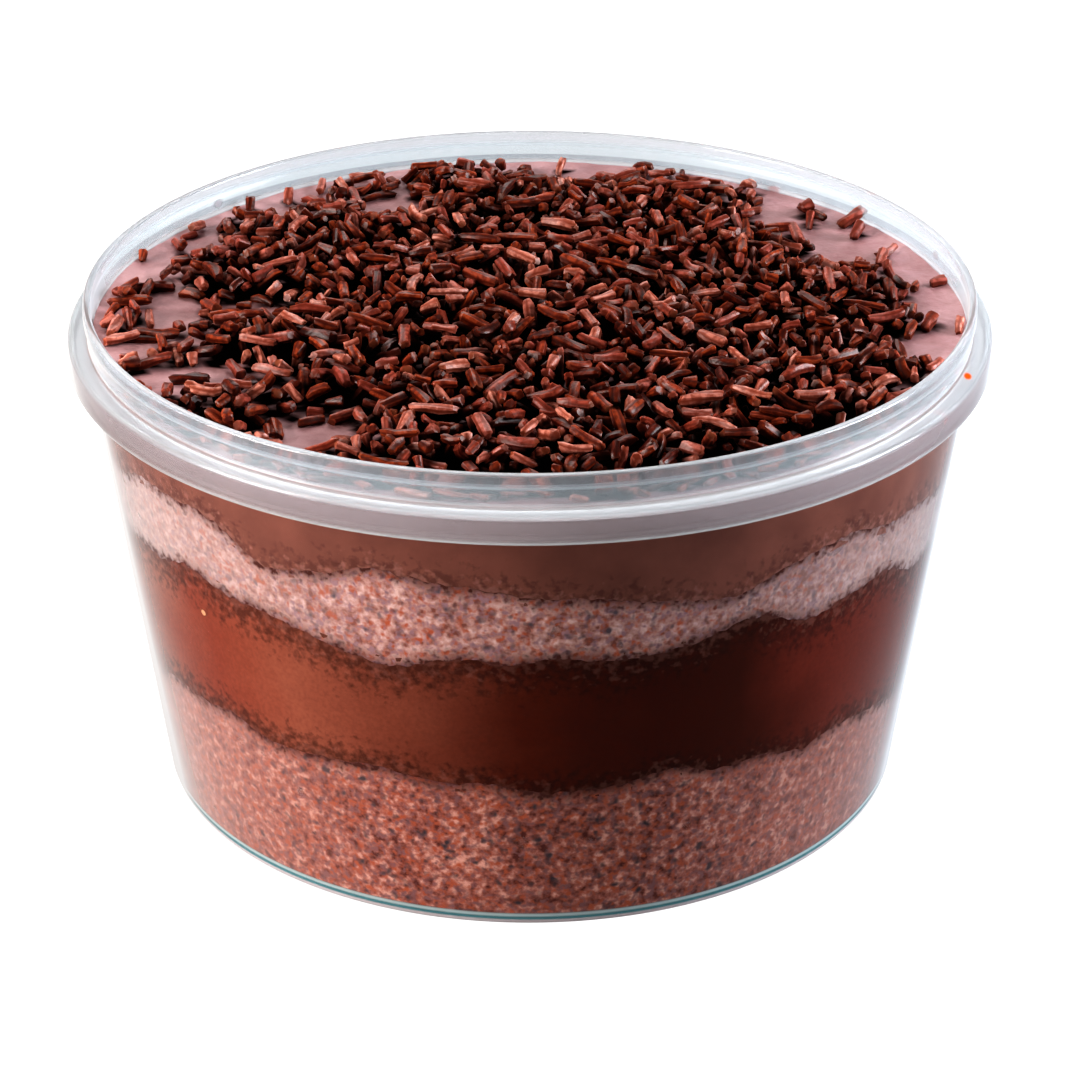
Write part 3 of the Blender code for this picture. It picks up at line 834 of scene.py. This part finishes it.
def cream_height(x, y):
    """The height of the cream's top at a place."""
    spot = Vector((x, y, 0))
    wave = sum(share * noise.noise(spot / size) for share, size in CREAM_WAVES)
    creep = max(0.0, CREEP_STEEPNESS * (math.hypot(x, y) / RIM_INNER_RADIUS - CREEP_FROM)) ** 2
    return CREAM_LEVEL + CREAM_WAVE * wave + CREAM_CREEP * creep


def cream_face(angle, share):
    """The cream's top as a face for press_layer."""
    spots = zip(share * RIM_INNER_RADIUS * np.sin(angle), -share * RIM_INNER_RADIUS * np.cos(angle))
    return np.array([cream_height(x, y) for x, y in spots])


def cream_finish():
    """Whipped chocolate: dark and wet against the wall, and paler and rosy on its top, which is a painted
    sheen of the lamp above and behind.
    """
    made, add = new_material("whipped chocolate cream")
    place = add("TexCoord").outputs["Object"]
    depth, foot, covered = (
        add("Attribute", attribute_name=name).outputs["Fac"]
        for name in ("below_top", "above_foot", "covered")
    )
    # Painted sheen: the top is painted paler and rosy, for the lamp above and behind.
    thin = {"Value": depth, "From Min": 0.02, "From Max": 0.3, "To Min": 1.0, "To Max": 0.0}
    sheen_top = add("MapRange", thin)
    cloud = add("TexNoise", {"Vector": place, "Scale": 1 / CREAM_CLOUD, "Detail": 4.0})
    top = add("ValToRGB", {"Fac": cloud}, [(0.35, "#936b6b"), (0.65, "#ad8686")])
    colour = add("ValToRGB", {"Fac": cloud}, [(0.3, "#6c4339"), (0.7, "#7e5145")])
    for share, coat in (
        (specks(add, place, foot, **BLOTTED), linear("#41201a")),
        (specks(add, place, foot, CRUMB_IN_CHOCOLATE, most=CRUMBS_IN_CREAM), linear("#a57a70")),
        (sheen_top, top),
    ):
        colour = add("MixRGB", {"Fac": share, "Color1": colour, "Color2": coat})
    fine = add("TexNoise", {"Vector": place, "Scale": 1 / CREAM_GRAIN, "Detail": 4.0})
    bump = add("Bump", {"Height": fine, "Strength": sheen_top, "Distance": 0.2 * MM})
    look = {"Base Color": colour, "Roughness": 0.5, "Specular IOR Level": 0.2, "Normal": bump}
    hidden = add("Math", {0: covered, 1: sheen_top}, operation="MULTIPLY")
    gloom = add("BsdfDiffuse", {"Color": linear(GLOOM)})
    shader = add("MixShader", {0: hidden, 1: add("BsdfPrincipled", look), 2: gloom})
    add("OutputMaterial", {"Surface": shader})
    return made


cream = unit_tower("chocolate_cream", CREAM_RINGS, CREAM_ROWS, SMOOTH_AROUND)
press_layer(cream, shifted(upper_cake_top, -SOAK), cream_face, SMOOTH_REACH)
shade(cream, LAYER_SHARP)
cream.data.materials.append(cream_finish())
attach(cream, "root")
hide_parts("cream_top")
print("cream:", len(cream.data.polygons), "faces")

# %% [markdown]
# ## Modelling a sprinkle
# A sprinkle is a strand of chocolate paste pressed through a star-shaped hole and broken when dry. So it
# is a rod with soft ridges along it and a rough break at each end. Four are modelled, one straight, one
# bent, one short and worn and one pressed flat, and the heap is made of copies of them in many sizes.

# %% Model four sprinkles
RIDGES = 4
POINTS_OF_RIDGE = 3
GROOVED = 0.9  # level of a wave round the rod above which it is a groove
TWIST = 0.5
WORN = 0.32
WORN_FROM = 0.45
WORN_LENGTH = 0.05
SWELL = 0.09
SWELLS = 9
BREAK = 0.04
BREAK_SLOPE = 0.05
BEND_MIDDLE = 0.08  # takes a bent rod back to its axis
AT_END = 0.499


def model_sprinkle(name, places, bend, taper, press, groove, seed):
    """A ridged rod along Z, one metre long and of one metre radius, with rings at places along it. It
    bends sideways, gets thinner to one end and can be pressed flat."""
    draw = np.random.default_rng(seed)
    bpy.ops.object.select_all(action="DESELECT")
    bpy.ops.mesh.primitive_cylinder_add(
        vertices=POINTS_OF_RIDGE * RIDGES, radius=1, depth=1, end_fill_type="NGON"
    )
    rod = bpy.context.object
    rod.name = rod.data.name = name
    bpy.ops.object.mode_set(mode="EDIT")
    for place in places:
        bpy.ops.mesh.select_all(action="SELECT")
        bpy.ops.mesh.bisect(plane_co=(0, 0, place), plane_no=(0, 0, 1))
    bpy.ops.object.mode_set(mode="OBJECT")
    points = points_of(rod)
    along = points[:, 2].copy()
    grooved = np.cos(RIDGES * np.arctan2(points[:, 0], points[:, 1])) > GROOVED
    note(rod.data, "ridge", 1.0 - grooved)
    ridge = 1 - groove * grooved
    worn = 1 - WORN * np.clip((np.abs(along) - WORN_FROM) / WORN_LENGTH, 0, 1) ** 2
    swell = (1 + SWELL * np.sin(SWELLS * along + seed)) * (1 + taper * along)
    points[:, :2] *= (ridge * worn * swell)[:, None]
    turn = TWIST * along
    points[:, 0], points[:, 1] = (
        points[:, 0] * np.cos(turn) - points[:, 1] * np.sin(turn),
        points[:, 0] * np.sin(turn) + points[:, 1] * np.cos(turn),
    )
    points[:, 1] *= press
    ends = np.abs(along) > AT_END
    points[ends, 2] += draw.uniform(-BREAK, BREAK, ends.sum()) + BREAK_SLOPE * points[ends, 0]
    points[:, 0] += bend * (along**2 - BEND_MIDDLE)
    move_points(rod, points)
    return rod


KINDS = {
    # name, rings, bend, taper, press, groove, seed
    "straight": model_sprinkle("sprinkle_straight", (-0.45, -0.15, 0.15, 0.45), 0.25, 0.1, 1.0, 0.2, 1),
    "bent": model_sprinkle("sprinkle_bent", (-0.45, -0.2, 0.1, 0.35), 2.6, 0.15, 0.95, 0.15, 2),
    "worn": model_sprinkle("sprinkle_worn", (-0.42, 0.42), 0.4, 0.25, 0.92, 0.08, 3),
    "pressed": model_sprinkle("sprinkle_pressed", (-0.44, 0.0, 0.44), 0.9, -0.25, 0.75, 0.14, 4),
}
print("kinds of sprinkle:", ", ".join(f"{k} of {len(v.data.polygons)} faces" for k, v in KINDS.items()))

# %% [markdown]
# ## Heaping the sprinkles
# A physics engine could drop two thousand rods, but it is slow and its result changes from run to run.
# A map does as well: a fine grid of the lowest heights at which a new rod's axis can pass. A rod falls
# somewhere, lies on the highest cells under it and tips until its middle is as low as it can be, and
# the map rises round it. Each rod tries a few places and takes the lowest, so hollows fill first. The
# places come before the fall: patches of cream that stay bare, and strays that lie on them and along
# the rim.

# %% Where the sprinkles may lie
BARE_PATCHES = [
    # x, y, half width along x, half width along y, all in millimetres
    (-43.9, 14.8, 2.2, 4.6),
    (-39.4, 1.4, 2.0, 4.4),
    (-31.8, 0.9, 1.5, 1.0),
    (-37.2, 23.2, 1.1, 1.9),
    (-27.8, 36.0, 1.8, 1.4),
    (-30.6, 31.6, 1.8, 1.6),
    (-16.8, 33.4, 2.4, 2.6),
    (-36.3, -16.9, 4.0, 2.0),
    (-43.2, -9.6, 1.8, 1.0),
    (-22.3, -31.2, 2.7, 2.6),
    (5.4, 44.2, 5.2, 2.6),
    (23.6, 41.6, 3.6, 1.8),
    (29.4, 38.2, 2.0, 2.2),
    (29.2, 31.4, 1.2, 3.4),
    (33.4, 24.2, 1.6, 3.2),
    (35.4, 18.2, 2.2, 3.2),
    (39.0, 22.0, 1.8, 3.8),
    (43.7, 14.2, 1.4, 3.4),
    (45.4, 3.4, 2.2, 3.4),
    (43.8, -8.4, 2.7, 3.1),
]
STRAYS = [
    # x and y in millimetres, heading and tilt in degrees, length in millimetres, kind
    (-44.3, 16.4, 90, 30, 1.4, "worn"),
    (-42.2, 8.0, 5, 0, 4.6, "straight"),
    (-44.4, 3.2, 0, 5, 4.6, "straight"),
    (-46.0, 0.2, 60, 20, 2.4, "worn"),
    (-43.4, -0.9, 80, 10, 3.0, "bent"),
    (-46.0, -2.8, 20, 30, 1.8, "worn"),
    (-42.3, -6.5, 0, 0, 5.6, "straight"),
    (-35.8, -17.4, 5, 0, 4.0, "straight"),
    (-33.2, 32.0, 90, 65, 1.7, "worn"),
    (-28.8, 34.4, 80, 60, 1.9, "straight"),
    (-20.9, 42.6, 0, 0, 2.2, "straight"),
    (3.6, 44.6, 70, 40, 2.6, "bent"),
    (13.6, 45.2, -40, 15, 3.0, "bent"),
    (18.2, 42.8, 80, 10, 2.4, "pressed"),
    (26.0, 38.8, -60, 25, 3.2, "bent"),
    (32.6, 26.8, 80, 45, 2.2, "worn"),
    (37.8, 28.0, 35, 18, 4.2, "straight"),
    (37.9, 23.8, 60, 30, 2.4, "worn"),
    (45.9, 9.4, 20, 10, 1.9, "straight"),
    (43.6, -2.9, 60, 20, 2.6, "straight"),
    (46.8, -3.4, 80, 15, 2.6, "straight"),
    (42.4, -13.6, -15, 5, 4.4, "straight"),
]
RADII = (0.44 * MM, 0.67 * MM)
PATCH_MARGIN = 0.45 * MM


def room(x, y):
    """How far inside the heap's edge places lie, in metres. Negative in a bare patch."""
    inside = RIM_INNER_RADIUS - RADII[1] - np.hypot(x, y)
    for patch in BARE_PATCHES:
        at_x, at_y, half_x, half_y = (size * MM for size in patch)
        apart = np.hypot((x - at_x) / half_x, (y - at_y) / half_y) - 1
        inside = np.minimum(inside, apart * min(half_x, half_y) - PATCH_MARGIN)
    return inside


print(len(BARE_PATCHES), "bare patches and", len(STRAYS), "strays")

# %% [markdown]
# ## The fall
# Most rods keep the tilt at which they got stuck, and the rest settle flat. Short ones can stand
# steep, long ones can't. The heap rises from its edge at a gentle slope, and no rod may stand out
# above the rim.

# %% Let the sprinkles fall
SPRINKLES = 3100  # rods that are dropped. Many find no place below the heap's slope
CHOICES = 3
MISS = 0.2  # share of a choice that a place above the slope counts
CELL = 0.25 * MM
COARSE = 3
SETTLED = np.linspace(-0.8, 0.8, 25)
TILTED = 0.7
TILTS = (12, 72)
TALLEST = 1.5 * MM
SINK = 0.25 * MM
BITE = 0.78
HIGHEST = TUB_HEIGHT - 0.25 * MM
EDGE_RISE = 1.1 * MM
DEEPEST = 2.9 * MM
SLOPE_OF_HEAP = 0.40
LENGTHS = {
    "straight": (1.9 * MM, 4.8 * MM),
    "bent": (2.4 * MM, 4.9 * MM),
    "worn": (1.2 * MM, 2.2 * MM),
    "pressed": (1.7 * MM, 3.3 * MM),
}
HEAP_SEED = 7
SHARES = {"straight": 0.48, "bent": 0.22, "worn": 0.16, "pressed": 0.14}


def fall(rest, axis, at, heading, length, slopes):
    """The height of a rod's middle and its slope where it comes to rest on the map."""
    half = length / 2 / math.hypot(1, slopes.mean())
    steps = np.linspace(-half, half, 9)
    cells_x = np.searchsorted(axis, at[0] + math.cos(heading) * steps).clip(0, len(axis) - 1)
    cells_y = np.searchsorted(axis, at[1] + math.sin(heading) * steps).clip(0, len(axis) - 1)
    middles = (rest[cells_x, cells_y] - slopes[:, None] * steps).max(1)
    lowest = middles.argmin()
    return middles[lowest], slopes[lowest]


def raise_map(rest, axis, rod):
    """Raises the map where a rod now lies."""
    (x, y, height), heading, slope, length, radius = rod[:5]
    half = length / 2 / math.hypot(1, slope)
    far = half + 2 * radius
    low_x, high_x = np.searchsorted(axis, (x - far, x + far))
    low_y, high_y = np.searchsorted(axis, (y - far, y + far))
    near = (slice(low_x, high_x), slice(low_y, high_y))
    off_x, off_y = axis[near[0], None] - x, axis[None, near[1]] - y
    along = off_x * math.cos(heading) + off_y * math.sin(heading)
    across = off_y * math.cos(heading) - off_x * math.sin(heading)
    apart = np.hypot(across, np.maximum(np.abs(along) - half, 0)) / (2 * radius)
    over = height + slope * along.clip(-half, half)
    over = over + BITE * 2 * radius * np.sqrt(1 - np.minimum(apart, 1) ** 2)
    rest[near] = np.where(apart < 1, np.maximum(rest[near], over), rest[near])


def heap_sprinkles(seed):
    """Lists (middle, heading, slope, length, radius, roll, kind) for every sprinkle, beside the map."""
    draw = np.random.default_rng(seed)
    rim = RIM_INNER_RADIUS
    rest = bare.copy()
    laid = []
    for x, y, heading, tilt, length, kind in STRAYS:
        at = (x * MM, y * MM)
        slopes = np.array([math.tan(math.radians(tilt))])
        radius = draw.uniform(*RADII)
        height, slope = fall(rest, axis, at, math.radians(heading), length * MM, slopes)
        height -= RADII[1] - radius
        laid.append(((*at, height), math.radians(heading), slope, length * MM, radius, 0.0, kind))
        raise_map(rest, axis, laid[-1])
    for _ in range(SPRINKLES):
        kind = draw.choice(list(SHARES), p=list(SHARES.values()))
        length = draw.uniform(*LENGTHS[kind])
        radius = draw.uniform(*RADII)
        slopes = SETTLED
        if draw.random() < TILTED:
            slopes = np.tan(np.radians(draw.uniform(*TILTS, 1))).clip(0, 2 * TALLEST / length)
        half = length / 2 / math.hypot(1, slopes.mean())
        best = None
        tried = 0
        while tried < CHOICES:
            at = draw.uniform(-rim, rim, 2)
            heading = draw.uniform(0, TURN)
            reach = np.outer((math.cos(heading), math.sin(heading)), (-half, 0, half))
            free = room(*(at[:, None] + reach)).min()
            if free < 0:
                continue
            height, slope = fall(rest, axis, at, heading, length, slopes)
            top = height + abs(slope) * half
            if top > min(HIGHEST - radius, CREAM_LEVEL + EDGE_RISE + min(DEEPEST, SLOPE_OF_HEAP * free)):
                tried += MISS
                continue
            tried += 1
            if best is None or height < best[0]:
                best = (height, slope, at, heading)
        if best is None:
            continue
        height, slope, at, heading = best
        laid.append(((*at, height), heading, slope, length, radius, draw.uniform(0, TURN), kind))
        raise_map(rest, axis, laid[-1])
    return laid, rest


axis = np.arange(-RIM_INNER_RADIUS, RIM_INNER_RADIUS, CELL)
coarse = np.array([[cream_height(x, y) for y in axis[::COARSE]] for x in axis[::COARSE]])
bare = coarse.repeat(COARSE, 0).repeat(COARSE, 1)[: len(axis), : len(axis)] + RADII[1] - SINK
laid, rest = heap_sprinkles(HEAP_SEED)
heights = np.array([rod[0][2] for rod in laid])
low, high = (heights.min() / MM).round(2), (heights.max() / MM).round(2)
print("sprinkles:", len(laid), "middles from", low, "to", high)

# %% [markdown]
# ## The ground under the heap
# Between real sprinkles the eye looks into black gaps, because light is lost among the rods. The gaps
# here are wider, so the cream under the thick of the heap is marked as covered, and its finish fades
# there. The map knows how thick the heap lies on each point.

# %% Darken what the heap covers
THICK = 1.2 * MM
THICK_RANGE = 0.5 * MM


def read_map(heights_of, points):
    """The height of a map at each of an array of points."""
    cells = np.searchsorted(axis, points[:, 0]), np.searchsorted(axis, points[:, 1])
    return heights_of[cells[0].clip(0, len(axis) - 1), cells[1].clip(0, len(axis) - 1)]


cover = ((read_map(rest - bare, points_of(cream)) - THICK) / THICK_RANGE).clip(0, 1)
note(cream.data, "covered", cover)
print("covered part of the cream:", round(float(cover.mean()), 2))

# %% [markdown]
# ## The chocolate of the sprinkles
# Sprinkles are cocoa, sugar and fat with a thin glaze, so they are dark brown with a soft shine along
# the ridges, and paler and dull where they broke. The ridges are painted paler in patches, as painted
# highlights of that shine. No two are quite the same brown. Each point of the mesh holds four numbers
# for this: how pale its sprinkle is, how near a broken end it lies, whether it is on a ridge, and how
# deep it lies in the heap, because deep ones fade to black as painted shade, also on the lower sides of
# the rods on top.

# %% Make the sprinkles' finish
BODY_TONES = ((0.0, "#2e0c06"), (0.5, "#591c0e"), (1.0, "#863e29"))
# The ridge tones are painted highlights of the shine along the ridges.
RIDGE_HIGHLIGHT_TONES = ((0.0, "#601f0d"), (0.4, "#a04926"), (0.7, "#9b4e43"), (1.0, "#d48e7b"))
HIGHLIGHT_PATCH = 0.7 * MM
SPRINKLE_GRAIN = 0.35 * MM


def sprinkle_finish():
    """Glazed dark chocolate, paler at the breaks, with painted highlights along the ridges and painted
    shade deep in the heap.
    """
    made, add = new_material("glazed chocolate sprinkle")
    place = add("TexCoord").outputs["Object"]
    tone, broken, ridge, deep = (
        add("Attribute", attribute_name=name).outputs["Fac"]
        for name in ("tone", "broken", "ridge", "deep")
    )
    patches = add("TexNoise", {"Vector": place, "Scale": 1 / HIGHLIGHT_PATCH, "Detail": 2.0})
    highlight_patches = add("MapRange", {"Value": patches, "From Min": 0.4, "From Max": 0.6, "To Min": 0.25})
    # Painted highlights: the ridges are painted paler, in patches.
    pale = add("Math", {0: ridge, 1: highlight_patches}, operation="MULTIPLY")
    colour = add("ValToRGB", {"Fac": tone}, BODY_TONES)
    ridge_highlight = add("ValToRGB", {"Fac": tone}, RIDGE_HIGHLIGHT_TONES)
    for share, coat in ((pale, ridge_highlight), (broken, linear("#80462f"))):
        colour = add("MixRGB", {"Fac": share, "Color1": colour, "Color2": coat})
    fine = add("TexNoise", {"Vector": place, "Scale": 1 / SPRINKLE_GRAIN, "Detail": 2.0})
    bump = add("Bump", {"Height": fine, "Strength": 0.6, "Distance": 0.08 * MM})
    look = {"Base Color": colour, "Roughness": 0.37, "Specular IOR Level": 0.33, "Normal": bump}
    gloom = add("BsdfDiffuse", {"Color": linear(GLOOM)})
    # Painted shade: what lies deep in the heap fades to black.
    shader = add("MixShader", {0: deep, 1: add("BsdfPrincipled", look), 2: gloom})
    add("OutputMaterial", {"Surface": shader})
    return made


glaze = sprinkle_finish()
print("finish:", glaze.name)

# %% [markdown]
# ## Laying the copies
# An object for each sprinkle would be slow, so the copies of one model become one mesh: the model's
# points, sized, rolled, tipped, turned and moved to where each rod came to rest. Slow swells that run
# through the whole heap make each copy a little crooked, so that no two look alike.

# %% Copy the models to their places
# Depths below the heap's top over which the painted shade fades to black.
SHALLOW = 0.35 * MM
DARK = 2.2 * MM
BROKEN_FROM = 0.44
BROKEN_LENGTH = 0.06
SPRINKLE_SHARP = 35
LUMP = 0.065 * MM
LUMP_WAVES = np.array([(3.9, 1.4, -2.1), (-1.7, 3.6, 2.4), (2.2, -2.9, 3.3)]) / MM


def lumpy(points):
    """Swells that run through the whole heap and make each copy a little crooked and uneven."""
    return points + LUMP * np.sin(points @ LUMP_WAVES.T) + LUMP / 2 * np.cos(2 * points @ LUMP_WAVES)


def strew(kind, rods, finish, seed):
    """Joins a copy of a kind's model for each of its rods into one piece."""
    draw = np.random.default_rng(seed)
    model = KINDS[kind]
    shape = points_of(model)
    loops = np.array([v for face in model.data.polygons for v in face.vertices])
    sizes = np.array([len(face.vertices) for face in model.data.polygons])
    points, tones = [], []
    for middle, heading, slope, length, radius, roll, _ in rods:
        size = Matrix.Diagonal((radius, radius, length, 1))
        tip = Matrix.Rotation(math.pi / 2 - math.atan(slope), 4, "Y")
        turn = Matrix.Translation(middle) @ Matrix.Rotation(heading, 4, "Z") @ tip
        placed = np.array(turn @ Matrix.Rotation(roll, 4, "Z") @ size)
        points.append(shape @ placed[:3, :3].T + placed[:3, 3])
        tones.append(np.full(len(shape), draw.random()))
    copies = len(rods)
    points = lumpy(np.concatenate(points))
    mesh = bpy.data.meshes.new(f"sprinkles_{kind}")
    mesh.vertices.add(copies * len(shape))
    mesh.vertices.foreach_set("co", points.astype(np.float32).ravel())
    mesh.loops.add(copies * len(loops))
    shifts = np.arange(copies)[:, None] * len(shape)
    mesh.loops.foreach_set("vertex_index", (loops + shifts).ravel().astype(np.int32))
    mesh.polygons.add(copies * len(sizes))
    starts = np.concatenate(([0], np.cumsum(np.tile(sizes, copies))[:-1]))
    mesh.polygons.foreach_set("loop_start", starts.astype(np.int32))
    mesh.update(calc_edges=True)
    fresh = np.repeat(draw.random(copies) ** 2, len(shape))
    at_end = np.clip((np.abs(shape[:, 2]) - BROKEN_FROM) / BROKEN_LENGTH, 0, 1)
    ridges = np.array([value.value for value in model.data.attributes["ridge"].data])
    note(mesh, "tone", np.concatenate(tones))
    note(mesh, "broken", fresh * np.tile(at_end, copies))
    note(mesh, "ridge", np.tile(ridges, copies))
    note(mesh, "deep", ((read_map(rest, points) - points[:, 2] - SHALLOW) / (DARK - SHALLOW)).clip(0, 1))
    piece = bpy.data.objects.new(mesh.name, mesh)
    bpy.context.scene.collection.objects.link(piece)
    shade(piece, SPRINKLE_SHARP)
    mesh.materials.append(finish)
    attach(piece, "root")
    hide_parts("cream_top")
    print(mesh.name, copies, "copies,", copies * int((sizes - 2).sum()), "triangles")


for number, kind in enumerate(KINDS):
    strew(kind, [rod for rod in laid if rod[-1] == kind], glaze, number)
for model in KINDS.values():
    bpy.data.objects.remove(model)
